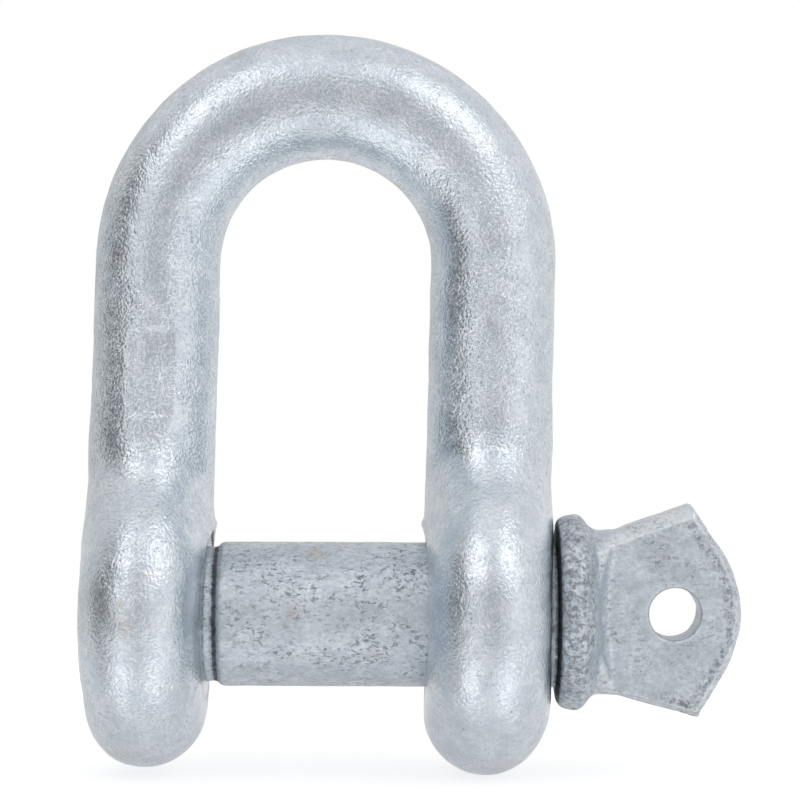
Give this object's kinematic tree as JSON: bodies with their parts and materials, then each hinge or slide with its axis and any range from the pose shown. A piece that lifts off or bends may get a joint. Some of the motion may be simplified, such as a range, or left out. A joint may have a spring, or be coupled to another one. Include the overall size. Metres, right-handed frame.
{
  "type": "screw-pin d shackle",
  "caption": "Forged galvanised D shackle: a U-shaped body with two ears, closed by a screw pin with a collar and a flat eye lug.",
  "frame": {"origin": "under the middle of the whole box, level with the lowest points of the two ears. The pin's axis is the line y = 0, z = 0.024, and the middle of the jaw is at x = -0.0148", "axes": "+X along the pin towards its eye, +Z from the pin towards the crown, +Y to the back"},
  "size_m": [0.1014, 0.048, 0.113],
  "materials": {
    "galvanised_body": "hot-dip galvanised, bright with a fine orange-peel texture",
    "galvanised_pin": "hot-dip galvanised, dull and mottled with dark flecks"
  },
  "bodies": {
    "body": {"shackle_body": "galvanised_body"},
    "pin": {"screw_pin": "galvanised_pin"}
  },
  "joints": [
    {"name": "pin_withdraw", "type": "slide", "parent": "body", "child": "pin", "axis": [1, 0, 0], "range_m": [0, 0.074]}
  ]
}
